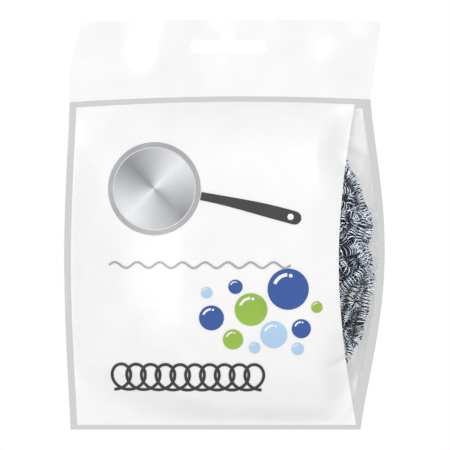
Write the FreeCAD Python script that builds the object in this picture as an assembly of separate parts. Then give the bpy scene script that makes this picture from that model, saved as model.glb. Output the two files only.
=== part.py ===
import FreeCAD, Part
import math
import os

# A spiral wire pot scrubber in the sealed film bag that it is sold in.
# The pack hangs: X runs to the right, Y to the back, Z up, and the origin is the middle of the
# hang slot. Three springy strands are wound in flat loops and lie on one another in the bag.

Vector = FreeCAD.Vector

# Film, ink and room between them, all in millimetres
film = 0.25
ink = 0.10
ink_room = 0.30
ply_room = 0.10
cut_overrun = 1.0

# Hang slot
slot_width = 32.0
slot_height = 6.1
slot_bump_width = 6.6
slot_bump_rise = 3.5

# Header, from the middle of the hang slot
header_rise = 11.3
header_left = 61.4
header_right = 64.5
header_left_bow = 1.7

# Seam between header and bag, from the middle of the hang slot down
seam_left_drop = 23.2
seam_right_drop = 22.0
seam_arch = 1.8
fold_gap = 0.8

# Bag outline, from the middle of the hang slot
bag_drop = 161.6
bag_left_top = 66.9
bag_left_bottom = 66.6
bag_left_bow = 2.5
bag_right_top = 60.1
bag_right_bottom = 55.9
bag_right_bow = 8.0

# Welds round the bag's pocket
top_weld = 2.4
bottom_weld = 2.3
left_weld = 3.2
right_weld_top = 3.6
right_weld_middle = 2.8
right_weld_bottom = 5.0

# Clear window between the front print and the right weld, which meet above the bottom edge
window_top = 2.7
window_middle = 17.0
window_bottom = -3.4

# Crown of the two plies over the scrubber: a long slope at the left, a ramp at the bottom
crown_room = 3.5
left_ramp = 50.0
left_power = 1.5
right_power = 8
end_power = 4
bottom_ramp_left = 27.0
bottom_ramp_right = 8.0
ramp_change_share = 0.6

# Right side of the plies: close on the scrubber, slanting to the weld, nearly flat in the corners
close_room = 2.6
corner_depth = 0.8
corner_reach = 10.0
flank_slope_share = 2.8
close_from_share = 0.62
close_change_share = 0.14
blend_power = 8

# Curves of the edges, the spans of the plies' surfaces and the points on an edge
bow_power = 1.25
window_power = 1.15
ply_spans = 30
ply_degree = 3
crowd_down_share = 0.7
crowd_across_share = 0.9
edge_stations = 13

# Scrubber: strands of wound wire, each a springy tube
strand_diameter = 4.8
strand_gap = 0.5
layers = 6
room_left = 19.6
room_right = 3.8
room_top = 14.4
room_bottom = 15.0
shoulder_inset = 4.5
face_inset = 14.5
eye_radius = 9.5
loop_corner_share = 0.7
climb_slope_share = 1.5
gap_sample_share = 0.25
sides_per_loop = 4

# Rim spring: the outer end of the middle strand, with its wire drawn curl by curl
curl_wire = 0.6
curl_pitch = 1.1
curls = 96

# Sizes that follow from the ones above
strand_radius = strand_diameter / 2
loop_pitch = strand_diameter + strand_gap
loop_step = loop_pitch / sides_per_loop
curl_radius = strand_radius - curl_wire / 2
crown_depth = ((layers - 1) * loop_pitch + strand_diameter) / 2 + crown_room
seam_drop = (seam_left_drop + seam_right_drop) / 2 - seam_arch / 2
pocket_bottom = -bag_drop + bottom_weld


def mix(start, end, share):
    """Value at a share of the way from start to end."""
    return start + (end - start) * share


def held(share):
    """Share kept between zero and one."""
    return min(max(share, 0), 1)


def bow(share, power):
    """Rise of a bowed edge, zero at both ends and one in the middle."""
    return math.sin(math.pi * held(share)) ** power


def bowed(top, middle, bottom, share, power):
    """Value that runs from top to bottom and passes through middle halfway down."""
    return mix(top, bottom, share) + (middle - (top + bottom) / 2) * bow(share, power)


def down_share(height):
    """Share of the bag's height below the seam, from its top to its bottom edge."""
    return (-seam_drop - height) / (bag_drop - seam_drop)


def seam_height(across):
    """Height of the fold between header and bag: an arch between its two ends."""
    ends = mix(-seam_left_drop, -seam_right_drop, across)
    return ends + seam_arch * 4 * across * (1 - across)


def weld_top(across):
    return seam_height(across) - fold_gap / 2


def pocket_top(across):
    return weld_top(across) - top_weld


def bag_left(height):
    share = down_share(height)
    return -mix(bag_left_top, bag_left_bottom, share) - bag_left_bow * bow(share, bow_power)


def bag_right(height):
    share = down_share(height)
    return mix(bag_right_top, bag_right_bottom, share) + bag_right_bow * bow(share, bow_power)


def pocket_left(height):
    return bag_left(height) + left_weld


def pocket_right(height):
    """Inner edge of the right weld."""
    share = down_share(height)
    weld = bowed(right_weld_top, right_weld_middle, right_weld_bottom, share, bow_power)
    return bag_right(height) - weld


def ply_left(height):
    return pocket_left(height) + ply_room


def ply_right(height):
    return pocket_right(height) - ply_room


def print_right(height):
    """Right edge of the front print, beside the clear window."""
    share = down_share(height)
    window = bowed(window_top, window_middle, window_bottom, share, window_power)
    return pocket_right(height) - window


def across_share(x, height):
    """Share of the pocket's width at a point, from its left edge to its right edge."""
    left = pocket_left(height)
    return (x - left) / (pocket_right(height) - left)


def smooth(share):
    """Rise from zero to one that starts and ends level."""
    return held(share) ** 2 * (3 - 2 * held(share))


def lesser(one, other):
    """Smaller of two depths, with the change from one to the other rounded off."""
    if one <= 0 or other <= 0:
        return 0
    return (one ** -blend_power + other ** -blend_power) ** (-1 / blend_power)


def rim_inset(x, height):
    """Distance of a point inside the rim's rounded outline, below zero outside it."""
    middle, half_width, half_height = scrubber_box()
    radius = loop_corner_share * min(half_width, half_height)
    across = abs(x - middle.x) - half_width + radius
    up = abs(height - middle.z) - half_height + radius
    return radius - math.hypot(max(across, 0), max(up, 0)) - min(max(across, up), 0)


def full_crown(x, height):
    """Depth of a ply that rises freely from all four edges of the pocket."""
    across = across_share(x, height)
    top = pocket_top(across)
    down = (top - height) / (top - pocket_bottom)
    left_rise = 1 - held(1 - (x - pocket_left(height)) / left_ramp) ** left_power
    right_rise = 1 - held(2 * across - 1) ** right_power
    end_rise = 1 - held(abs(2 * down - 1)) ** end_power
    ramp = mix(bottom_ramp_left, bottom_ramp_right, smooth(across / ramp_change_share))
    return crown_depth * left_rise * right_rise * end_rise * smooth((height - pocket_bottom) / ramp)


def close_crown(x, height):
    """Depth of a ply that lies close on the scrubber, or flat beyond it, and slants to the right weld."""
    inset = rim_inset(x, height)
    rise = 1 - (1 - held(inset / face_inset)) ** 2
    over_strands = mix(loop_pitch, (layers - 1) * loop_pitch, rise) / 2 + strand_radius + close_room
    beyond = smooth((-inset - strand_radius) / corner_reach)
    flank = flank_slope_share * (pocket_right(height) - x)
    return lesser(mix(over_strands, corner_depth, beyond), flank)


def crown(x, height):
    """Depth of a ply off the plane of the welds: free at the left, close on the scrubber at the right."""
    full = full_crown(x, height)
    close = lesser(full, close_crown(x, height))
    return mix(full, close, smooth((across_share(x, height) - close_from_share) / close_change_share))


def line(start, end):
    return Part.LineSegment(start, end).toShape()


def spline(points):
    curve = Part.BSplineCurve()
    curve.interpolate(points)
    return curve.toShape()


def upright_edge(edge, top, bottom):
    """Side edge as a curve from its top height to its bottom height."""
    heights = [mix(top, bottom, station / (edge_stations - 1)) for station in range(edge_stations)]
    return spline([Vector(edge(height), 0, height) for height in heights])


def level_edge(edge, left, right):
    """Arched edge as a curve from its left end to its right end."""
    shares = [station / (edge_stations - 1) for station in range(edge_stations)]
    return spline([Vector(mix(left, right, share), 0, edge(share)) for share in shares])


def closed(first, second):
    """Two facing edges, drawn the same way, joined by straight lines at their ends."""
    first_start, first_end = [vertex.Point for vertex in first.Vertexes]
    second_start, second_end = [vertex.Point for vertex in second.Vertexes]
    return [first, line(first_end, second_end), second, line(second_start, first_start)]


def plate(edges, depth_start, depth_end):
    """Flat sheet inside closed edges, from one depth to the other."""
    face = Part.Face(Part.Wire(Part.__sortEdges__(edges)))
    face.translate(Vector(0, depth_start, 0))
    return face.extrude(Vector(0, depth_end - depth_start, 0))


def hang_slot():
    """Euro slot: a round-ended slot with a bump in the middle of its upper edge."""
    start = -film - cut_overrun
    depth = 2 * (film + cut_overrun)
    end_radius = slot_height / 2
    end_at = slot_width / 2 - end_radius
    bump_radius = slot_bump_width / 2
    bump_at = end_radius + slot_bump_rise - bump_radius

    def post(x, height, radius):
        return Part.makeCylinder(radius, depth, Vector(x, start, height), Vector(0, 1, 0))

    straight = Part.makeBox(2 * end_at, depth, slot_height, Vector(-end_at, start, -end_radius))
    neck = Part.makeBox(slot_bump_width, depth, bump_at, Vector(-bump_radius, start, 0))
    ends = [post(-end_at, 0, end_radius), post(end_at, 0, end_radius)]
    return straight.multiFuse(ends + [neck, post(0, bump_at, bump_radius)])


def header_ply(side):
    """One ply of the header, in front of the plane of the welds (-1) or behind it (1)."""
    def foot_height(across):
        return seam_height(across) + fold_gap / 2

    left_foot = Vector(-bag_left_top, 0, foot_height(0))
    right_foot = Vector(bag_right_top, 0, foot_height(1))
    left_corner = Vector(-header_left, 0, header_rise)
    right_corner = Vector(header_right, 0, header_rise)
    left_middle = (left_foot + left_corner) / 2 - Vector(header_left_bow, 0, 0)
    foot = level_edge(foot_height, -bag_left_top, bag_right_top)
    left = Part.Arc(left_foot, left_middle, left_corner).toShape()
    edges = [foot, line(right_foot, right_corner), line(right_corner, left_corner), left]
    return plate(edges, 0, side * film).cut(hang_slot())


def top_seal():
    """Weld that joins both plies to the header."""
    upper = level_edge(weld_top, -bag_left_top, bag_right_top)
    lower = level_edge(pocket_top, -bag_left_top, bag_right_top)
    return plate(closed(upper, lower), -film, film)


def side_seal(outer, inner, across):
    """Weld down one side of the pocket, between the top and the bottom weld."""
    top = pocket_top(across) - ply_room
    bottom = pocket_bottom + ply_room
    return plate(closed(upright_edge(outer, top, bottom), upright_edge(inner, top, bottom)), -film, film)


def bottom_seal():
    """Weld along the bottom edge, from side to side."""
    def level(height):
        return line(Vector(bag_left(height), 0, height), Vector(bag_right(height), 0, height))

    return plate(closed(level(pocket_bottom), level(-bag_drop)), -film, film)


def knot_shares(crowd_share):
    """Places of a ply's knots between two edges, crowded towards both edges."""
    evens = [knot / ply_spans for knot in range(ply_spans + 1)]
    return [mix(even, (1 - math.cos(math.pi * even)) / 2, crowd_share) for even in evens]


def point_shares(knots):
    """Places of the control points, each the mean of the knots it lies between, which keeps the pace even."""
    ends = ply_degree - 1
    padded = knots[:1] * ends + knots + knots[-1:] * ends
    return [sum(padded[first:first + ply_degree]) / ply_degree for first in range(ply_spans + ply_degree)]


def crowned_face(side, lift):
    """Face over the whole pocket, crowned to the front (-1) or to the back (1) and lifted off the crown.

    The points on the crown are the control points of a spline surface, which can't swing past them.
    """
    down_knots = knot_shares(crowd_down_share)
    across_knots = knot_shares(crowd_across_share)
    grid = []
    for down in point_shares(down_knots):
        points = []
        for share in point_shares(across_knots):
            middle = mix(pocket_top(share), pocket_bottom, down)
            x = mix(ply_left(middle), ply_right(middle), share)
            top = pocket_top(across_share(x, middle))
            height = mix(top - ply_room, pocket_bottom + ply_room, down)
            x = mix(ply_left(height), ply_right(height), share)
            points.append(Vector(x, side * (crown(x, height) + lift), height))
        grid.append(points)
    repeats = [ply_degree + 1] + [1] * (ply_spans - 1) + [ply_degree + 1]
    surface = Part.BSplineSurface()
    surface.buildFromPolesMultsKnots(
        grid, repeats, repeats, down_knots, across_knots, False, False, ply_degree, ply_degree)
    return surface.toShape()


def window():
    """Block through the front of the bag, from the front print's right edge past the right weld."""
    top = seam_height(1)
    bottom = -bag_drop
    left = upright_edge(print_right, top, bottom)
    right = upright_edge(bag_right, top, bottom)
    return plate(closed(left, right), 0, -crown_depth - cut_overrun)


def ply(side):
    """Clear film over the whole pocket."""
    return crowned_face(side, ply_room).extrude(Vector(0, side * film, 0))


def ink_face(side):
    """Inner face of the white ink on the outside of a ply."""
    return crowned_face(side, ply_room + film + ink_room)


def front_print():
    """White ink on the front, left of the clear window."""
    return ink_face(-1).cut(window()).extrude(Vector(0, -ink, 0))


def back_print():
    """White ink all over the back."""
    return ink_face(1).extrude(Vector(0, ink, 0))


def arc_middle(start, tangent, end):
    """Middle point of the arc that leaves start along tangent and reaches end."""
    chord = end - start
    inward = chord - tangent * chord.dot(tangent)
    radius = chord.Length ** 2 / (2 * inward.Length)
    centre = start + inward.normalize() * radius
    outward = (start - centre) + (end - centre)
    return centre + outward.normalize() * radius


def biarc(start, start_tangent, end, end_tangent):
    """Two arcs that meet smoothly and that leave and arrive along the given tangents."""
    chord = end - start
    along = chord.dot(start_tangent + end_tangent)
    spread = 2 * (1 - start_tangent.dot(end_tangent))
    reach = (math.sqrt(along ** 2 + spread * chord.dot(chord)) - along) / spread
    joint = (start + end + (start_tangent - end_tangent) * reach) / 2
    first = Part.Arc(start, arc_middle(start, start_tangent, joint), joint)
    second = Part.Arc(joint, arc_middle(end, end_tangent * -1, joint), end)
    return [first.toShape(), second.toShape()]


def side_normal(side):
    """Outward direction, in the plane of a loop, of one of its four sides."""
    directions = (Vector(1, 0, 0), Vector(0, 0, 1), Vector(-1, 0, 0), Vector(0, 0, -1))
    return directions[side % sides_per_loop]


class Winding:
    """Path of a strand about the scrubber's middle: straight runs joined by quarter turns."""

    def __init__(self, half_width, half_height):
        self.half_sizes = (half_width, half_height)
        self.edges = []
        self.at = None

    def offset(self, side, inset):
        """Distance of a loop's side from the scrubber's middle."""
        return self.half_sizes[side % 2] - inset

    def side_middle(self, side, inset, depth):
        return side_normal(side) * self.offset(side, inset) + Vector(0, depth, 0)

    def corner(self, side, inset, next_inset, depth):
        """Centre and radius of the bend from one side of the loop to the next."""
        offset = self.offset(side, inset)
        next_offset = self.offset(side + 1, next_inset)
        radius = loop_corner_share * min(offset, next_offset)
        centre = side_normal(side) * (offset - radius) + side_normal(side + 1) * (next_offset - radius)
        return centre + Vector(0, depth, 0), radius

    def start_at(self, side, inset, depth):
        self.at = self.side_middle(side, inset, depth)

    def run_to(self, point):
        self.edges.append(line(self.at, point))
        self.at = point

    def quarter_turn(self, side, inset, next_inset, depth):
        """Round the corner from one side of the loop to the next."""
        centre, radius = self.corner(side, inset, next_inset, depth)
        normal = side_normal(side)
        next_normal = side_normal(side + 1)
        middle = centre + (normal + next_normal).normalize() * radius
        end = centre + next_normal * radius
        self.run_to(centre + normal * radius)
        self.edges.append(Part.Arc(self.at, middle, end).toShape())
        self.at = end

    def climb(self, side, inset, depth, next_depth):
        """Half a turn round the eye that rises from one layer to the next."""
        half_turn = math.pi * (self.offset(side, inset) + self.offset(side + 1, inset)) / 2
        slope = climb_slope_share * (next_depth - depth) / half_turn
        heading = (side_normal(side + 2) + Vector(0, slope, 0)).normalize()
        top = self.side_middle(side + 1, inset + loop_step, (depth + next_depth) / 2)
        end = self.side_middle(side + 2, inset, next_depth)
        self.run_to(self.side_middle(side, inset, depth))
        self.edges += biarc(self.at, side_normal(side + 1), top, heading)
        self.edges += biarc(top, heading, end, side_normal(side + 3))
        self.at = end


def wind(path, first_side, inset_in, depth_in, inset_out, depth_out):
    """Loops that spiral in to the eye on one layer, climb there and spiral out above where they began."""
    eye_inset = min(path.half_sizes) - eye_radius
    sides_in = int((eye_inset - inset_in) / loop_step)
    step_in = (eye_inset - inset_in) / sides_in
    path.start_at(first_side, inset_in + step_in * first_side, depth_in)
    for side in range(first_side, sides_in):
        inset = inset_in + step_in * side
        path.quarter_turn(side, inset, inset + step_in, depth_in)
    path.climb(sides_in, eye_inset, depth_in, depth_out)
    first_out = sides_in + sides_per_loop // 2
    sides_out = int((eye_inset - inset_out) / loop_step)
    sides_out -= (first_out + sides_out - first_side) % sides_per_loop
    step_out = (eye_inset - inset_out) / sides_out
    for side in range(first_out, first_out + sides_out):
        inset = eye_inset - step_out * (side - first_out)
        path.quarter_turn(side, inset, inset - step_out, depth_out)
    path.run_to(path.side_middle(first_out + sides_out, inset_out, depth_out))
    return path.edges


def least_gap(edges, diameter, pitch):
    """Least room between a tube's turns, measured on points along its path."""
    cells = {}
    cell_size = 2 * pitch
    own_stretch = math.pi * diameter
    travelled = 0
    for edge in edges:
        count = max(int(edge.Length / (gap_sample_share * diameter)), 1)
        for index, point in enumerate(edge.discretize(count + 1)[:-1]):
            cell = tuple(math.floor(value / cell_size) for value in point)
            cells.setdefault(cell, []).append((travelled + edge.Length * index / count, point))
        travelled += edge.Length
    least = cell_size
    steps = (-1, 0, 1)
    for (i, j, k), members in cells.items():
        around = [(i + a, j + b, k + c) for a in steps for b in steps for c in steps]
        near = [sample for cell in around for sample in cells.get(cell, [])]
        for place, point in members:
            gaps = [(other - point).Length for along, other in near if along - place > own_stretch]
            least = min([least] + gaps)
    return least - diameter


def layer_depth(layer):
    """Depth of a layer of loops, counted from the front, about the scrubber's middle."""
    return (layer - (layers - 1) / 2) * loop_pitch


def tube(name, edges, diameter, pitch):
    """Unbroken round tube along edges that follow on from one another."""
    path = Part.Wire(edges)
    ring = Part.Circle(edges[0].Vertexes[0].Point, edges[0].tangentAt(edges[0].FirstParameter), diameter / 2)
    pipe = Part.BRepOffsetAPI.MakePipeShell(path)
    pipe.add(Part.Wire([ring.toShape()]))
    pipe.build()
    pipe.makeSolid()
    solid = pipe.shape()
    fill = solid.Volume / (math.pi * diameter ** 2 / 4 * path.Length)
    print(name, "is", round(path.Length), "long, its volume over section times length is", round(fill, 4))
    print(name, "has a least gap to itself of", round(least_gap(edges, diameter, pitch), 3))
    solid.translate(scrubber_box()[0])
    return solid


def scrubber_box():
    """Middle of the scrubber in its pocket, and half its width and height at the strands' middles."""
    top = pocket_top(0.5) - room_top
    bottom = pocket_bottom + room_bottom
    middle = (top + bottom) / 2
    left = pocket_left(middle) + room_left
    right = pocket_right(middle) - room_right
    half_width = (right - left) / 2 - strand_radius
    half_height = (top - bottom) / 2 - strand_radius
    return Vector((left + right) / 2, 0, middle), half_width, half_height


def strand(name, first_side, inset_in, layer_in, inset_out, layer_out):
    """One springy strand, wound from one layer of the scrubber to the next."""
    path = Winding(*scrubber_box()[1:])
    edges = wind(path, first_side, inset_in, layer_depth(layer_in), inset_out, layer_depth(layer_out))
    return tube(name, edges, strand_diameter, loop_pitch)


def rim_place(path, depth, travel):
    """Middle, heading, outward direction and bend of the rim at a distance from the right side's foot."""
    lower, lower_radius = path.corner(3, -loop_step, 0, depth)
    upper, upper_radius = path.corner(4, 0, loop_step, depth)
    run = upper.z - lower.z
    if travel < 0:
        centre, radius, angle = lower, lower_radius, travel / lower_radius
    elif travel > run:
        centre, radius, angle = upper, upper_radius, (travel - run) / upper_radius
    else:
        foot = lower + Vector(lower_radius, 0, travel)
        return foot, Vector(0, 0, 1), Vector(1, 0, 0), 0
    outward = Vector(math.cos(angle), 0, math.sin(angle))
    heading = Vector(-math.sin(angle), 0, math.cos(angle))
    return centre + outward * radius, heading, outward, 1 / radius


def rim_spring(name, layer):
    """Wire wound in curls about the rim's right side: a helix on half-turn stations joined by biarcs."""
    path = Winding(*scrubber_box()[1:])
    depth = layer_depth(layer)
    lower = path.corner(3, -loop_step, 0, depth)[0]
    upper = path.corner(4, 0, loop_step, depth)[0]
    start = (upper.z - lower.z - curls * curl_pitch) / 2
    turn_rate = 2 * math.pi / curl_pitch
    back = Vector(0, 1, 0)
    points = []
    tangents = []
    for station in range(2 * curls + 1):
        place, heading, outward, bend = rim_place(path, depth, start + station * curl_pitch / 2)
        turn = math.pi * station
        across = math.cos(turn)
        along = math.sin(turn)
        points.append(place + (outward * across + back * along) * curl_radius)
        tangent = heading * (1 + curl_radius * across * bend)
        tangent += (back * across - outward * along) * (curl_radius * turn_rate)
        tangents.append(tangent.normalize())
    edges = [line(points[0] - tangents[0] * curl_wire, points[0])]
    for station in range(2 * curls):
        edges += biarc(points[station], tangents[station], points[station + 1], tangents[station + 1])
    edges.append(line(points[-1], points[-1] + tangents[-1] * curl_wire))
    return tube(name, edges, curl_wire, curl_pitch)


def build():
    """Every piece of the pack under its name."""
    front = layers // 2 - 1
    back = layers // 2
    return {
        "header_front": header_ply(-1),
        "header_back": header_ply(1),
        "top_seal": top_seal(),
        "bottom_seal": bottom_seal(),
        "left_seal": side_seal(bag_left, pocket_left, 0),
        "right_seal": side_seal(bag_right, pocket_right, 1),
        "front_film": ply(-1),
        "back_film": ply(1),
        "front_print": front_print(),
        "back_print": back_print(),
        "strand_front": strand("strand_front", 0, shoulder_inset, front - 1, face_inset, front - 2),
        "strand_middle": strand("strand_middle", 1, 0, front, 0, back),
        "strand_back": strand("strand_back", 0, shoulder_inset, back + 1, face_inset, back + 2),
        "rim_spring": rim_spring("rim_spring", front),
    }


os.makedirs("parts", exist_ok=True)
for node, shape in build().items():
    state = "valid" if shape.isValid() else "not valid"
    print(node, state, "with", len(shape.Solids), "solid and volume", round(shape.Volume, 1))
    shape.exportStep(os.path.join("parts", node + ".step"))
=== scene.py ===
import math

import bpy
import numpy as np
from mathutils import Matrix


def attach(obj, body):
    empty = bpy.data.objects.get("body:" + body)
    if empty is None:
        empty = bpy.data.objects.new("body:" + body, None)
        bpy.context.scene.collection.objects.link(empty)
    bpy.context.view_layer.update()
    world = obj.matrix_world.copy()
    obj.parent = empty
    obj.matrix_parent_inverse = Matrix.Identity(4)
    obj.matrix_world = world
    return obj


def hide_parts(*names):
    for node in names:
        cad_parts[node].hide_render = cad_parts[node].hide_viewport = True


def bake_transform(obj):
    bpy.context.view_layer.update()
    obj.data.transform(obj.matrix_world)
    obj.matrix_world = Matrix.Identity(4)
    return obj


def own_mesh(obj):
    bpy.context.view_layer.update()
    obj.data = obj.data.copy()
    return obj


# A spiral wire pot scrubber in the printed film bag that it hangs in.
# X runs to the right, Y to the back and Z up, from the middle of the hang slot.
# Shapes are worked out in millimetres and scaled to metres when a mesh is made.

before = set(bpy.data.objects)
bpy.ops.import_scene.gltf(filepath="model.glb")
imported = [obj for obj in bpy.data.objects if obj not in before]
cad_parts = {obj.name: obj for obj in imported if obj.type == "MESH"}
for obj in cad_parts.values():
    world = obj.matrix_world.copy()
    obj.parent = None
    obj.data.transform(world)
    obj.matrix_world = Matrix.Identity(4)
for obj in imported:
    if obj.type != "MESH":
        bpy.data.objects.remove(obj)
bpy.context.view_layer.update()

MM = 0.001

# Film and ink, and how far each ply lies off the surface of the pocket
film = 0.12
ink = 0.10
ink_lift = 0.22
ink_overlap = 0.3
design_lift = 0.46
design_ink = 0.05
over_design = 0.08

# Hang slot
slot_width = 32.0
slot_height = 6.1
slot_bump_width = 6.6
slot_bump_rise = 3.5
slot_corner = 1.1

# Header
header_rise = 11.3
header_left = 61.4
header_right = 64.5
header_left_bow = 1.7
header_overlap = 0.2
header_ply_gap = 0.02
header_edge_points = 170
header_rings = 44

# Waves of the header's top edge
top_edge_wave = 0.7
top_edge_length = 19.0
top_edge_phase = 1.3

# Waves of the header out of its plane: share of the height, length across, length up and phase
header_wave = 2.8
header_waves = ((1.0, 11.3, 34.0, 0.6), (0.4, 6.1, -21.0, 2.1))
header_loose_at = 26.0
slot_wave_share = 0.55
slot_calm_stretch = 2.2
slot_calm_radius = 6.0
slot_calm_reach = 10.0

# Seam between header and bag
seam_left_drop = 23.2
seam_right_drop = 22.0
seam_arch = 1.8
fold_gap = 0.8

# Bag outline
bag_drop = 161.6
bag_left_top = 66.9
bag_left_bottom = 66.6
bag_left_bow = 2.5
bag_right_top = 60.1
bag_right_bottom = 55.9
bag_right_bow = 8.0
bow_power = 1.25

# Welds round the pocket
top_weld = 2.4
weld_below_print = 1.3
bottom_weld = 2.3
left_weld = 3.2
right_weld_top = 3.6
right_weld_middle = 2.8
right_weld_bottom = 5.0
weld_wave = 0.35
weld_wave_across = 8.7
weld_wave_up = 11.3
weld_wave_from = 0.1
band_columns = 241
band_rows = 17
margin_points = 181
margin_rows = 7

# Clear window beside the front print, which runs onto the weld at the bottom
window_top = 2.7
window_middle = 17.0
window_bottom = -3.4
window_power = 1.15
notch_run = 1.0

# Crown of the plies over the scrubber
crown_depth = 19.15
left_ramp = 50.0
left_power = 1.5
right_power = 8
end_power = 4
bottom_ramp_left = 27.0
bottom_ramp_right = 8.0
ramp_change_share = 0.6
flank_slope = 1.5
film_room = 1.2
corner_depth = 0.8
corner_reach = 10.0
tight_reach = 14.0
change_power = 8
ply_rows = 170
ply_columns = 150

# Ripples of the film: height, run and rise of the slant, length and phase, then their place and reach
foot_ripple = (0.22, 0.8, 0.35, 6.1, 0.0)
foot_ripple_down = (0.95, 0.16)
left_ripple = (0.16, 1.0, -0.5, 5.2, 0.7)
left_ripple_across = (0.05, 0.2)

# Long dents of the film: depth, slope, place and reach of the line, and its place and reach down the bag
film_dents = ((0.9, 0.35, -62.0, 9.0, 0.2, 0.2), (0.8, -0.5, 18.0, 10.0, 0.78, 0.14))
crease_fade_left = 0.12
crease_fade_right = 0.06
crease_fade_ends = 0.08
back_crease_share = 0.8

# Scrubber: three strands wound in flat loops on six layers
strand_diameter = 4.8
loop_pitch = 5.3
layers = 6
scrubber_x = 6.5
scrubber_z = -91.15
scrubber_half = 50.4
eye_radius = 9.5
climb_turns = 0.5
rim_depth = 0.9
shoulder_inset = 4.5
face_inset = 14.5
loop_corner_share = 0.7
rim_spring_turns = 0.2
strand_points = 6000
rim_points = 600

# Wire of the springs, its room to the film, and steps for paths and slopes
wire = 0.6
curl_pitch = 1.5
rim_pitch = 1.2
curl_points = 12
wire_sides = 5
curl_clearance = 0.3
path_step = 0.5
slope_step = 0.5

# Wander of the strands, of the curls' spacing and of their radius: amounts and lengths of the waves
strand_sway = ((1.3, 0.9, 0.5), (26.0, 13.0, 7.0))
rim_sway = ((0.9, 0.5), (24.0, 11.0))
pitch_sway = ((0.22, 0.16), (23.0, 9.0))
radius_sway = ((0.07, 0.06), (31.0, 5.0))

# Bumps of the scrubber's right rim: height, reach along the rim and how far each stands out
rim_bumps = ((-48.5, 6.0, 2.6), (-66.0, 4.0, 0.6), (-75.0, 3.5, 2.1), (-92.0, 5.0, 2.1), (-100.0, 5.0, 2.1),
             (-118.0, 4.5, 1.5), (-130.5, 4.0, 1.9))
bump_depth = 16.0
bump_from = 30.0

# Loose curls that lie across the loops of each face
loose_count = 64
loose_lengths = (16.0, 27.0)
loose_bend = 0.05
loose_spread = 0.8
loose_spread_power = 1.5
loose_tuck = 4.0
loose_proud = 1.2
loose_points = 80

# Height of the fold about which the bag swings, foot of the pocket, and what a strand takes up
seam_drop = (seam_left_drop + seam_right_drop) / 2 - seam_arch / 2
pocket_bottom = -bag_drop + bottom_weld
curl_radius = strand_diameter / 2 - wire / 2
strand_room = curl_radius + wire / 2 + curl_clearance


def mix(start, end, share):
    """Value at a share of the way from start to end."""
    return start + (end - start) * share


def smooth(share):
    """Rise from 0 to 1 that starts and ends level: 3 s squared less 2 s cubed."""
    share = np.clip(share, 0, 1)
    return share * share * (3 - 2 * share)


def bell(value, middle, reach):
    """Bump of height 1 about a middle: the exponential of minus the square of the offset over the reach."""
    return np.exp(-((value - middle) / reach) ** 2)


def bow(share, power):
    """Bowed edge: a half sine to a power, 0 at both ends and 1 in the middle."""
    return np.sin(math.pi * np.clip(share, 0, 1)) ** power


def bowed(top, middle, bottom, share, power):
    """Value that runs from top to bottom and passes through middle halfway."""
    return mix(top, bottom, share) + (middle - (top + bottom) / 2) * bow(share, power)


def unit(vectors):
    """Vectors of length 1: each divided by its length."""
    return vectors / np.linalg.norm(vectors, axis=-1, keepdims=True)


# Outline of the bag and of its pocket

def down_share(z):
    """Share of the bag's height below the seam."""
    return (-seam_drop - z) / (bag_drop - seam_drop)


def seam_height(across):
    """Height of the fold between header and bag: a parabolic arch between its two ends."""
    ends = mix(-seam_left_drop, -seam_right_drop, across)
    return ends + seam_arch * 4 * across * (1 - across)


def pocket_top(across):
    """Upper edge of the pocket: the seam less half the fold's gap and the weld under it."""
    return seam_height(across) - fold_gap / 2 - top_weld


def bag_left(z):
    """Left edge of the bag: a straight line and a bow to the left."""
    share = down_share(z)
    return -mix(bag_left_top, bag_left_bottom, share) - bag_left_bow * bow(share, bow_power)


def bag_right(z):
    """Right edge of the bag: a straight line and a bow to the right."""
    share = down_share(z)
    return mix(bag_right_top, bag_right_bottom, share) + bag_right_bow * bow(share, bow_power)


def pocket_left(z):
    """Left edge of the pocket: an even weld inside the bag's edge."""
    return bag_left(z) + left_weld


def pocket_right(z):
    """Right edge of the pocket: inside the bag's edge by a weld that narrows towards the middle."""
    weld = bowed(right_weld_top, right_weld_middle, right_weld_bottom, down_share(z), bow_power)
    return bag_right(z) - weld


def print_right(z):
    """Right edge of the front print: left of the pocket's edge by the width of the clear window."""
    window = bowed(window_top, window_middle, window_bottom, down_share(z), window_power)
    return pocket_right(z) - window


def across_share(x, z):
    """Share of the pocket's width to the left of a point."""
    left = pocket_left(z)
    return (x - left) / (pocket_right(z) - left)


# Surface of the pocket

def loop_size(x, z):
    """Half size of the rounded square about the scrubber's middle that passes through a point.

    On a straight run it is the larger of the two distances from the middle. In a corner it solves the
    square equation of the corner's circle, whose middle and radius are shares of that half size.
    """
    across, up = np.abs(x - scrubber_x), np.abs(z - scrubber_z)
    run = 1 - loop_corner_share
    longer, shorter = np.maximum(across, up), np.minimum(across, up)
    square = loop_corner_share ** 2 - 2 * run ** 2
    slope = run * (across + up)
    corner = (np.sqrt(slope ** 2 + square * (across ** 2 + up ** 2)) - slope) / square
    return np.where(shorter > run * longer, corner, longer)


def rim_bump(x, z):
    """How far the scrubber's rim stands out of its rounded square: a sum of bells down its right side."""
    total = sum(amount * bell(z, middle, reach) for middle, reach, amount in rim_bumps)
    return total * smooth((x - scrubber_x - bump_from) / bump_depth)


def layer_depth(layer):
    """Depth of a layer's middle: its number, counted from the middle of all layers, times the pitch."""
    return (layer - (layers - 1) / 2) * loop_pitch


def strand_depth(inset):
    """Depth of the outermost strands' middles at an inset from the rim: a curve from the rim to the face."""
    share = np.clip(inset / face_inset, 0, 1)
    return mix(rim_depth, layer_depth(layers - 1), 1 - (1 - share) ** 2)


def lesser(one, other):
    """Smaller of two depths, with the change from one to the other rounded by a power mean."""
    total = one ** change_power + other ** change_power
    return one * other / np.maximum(total, 1e-12) ** (1 / change_power)


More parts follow.
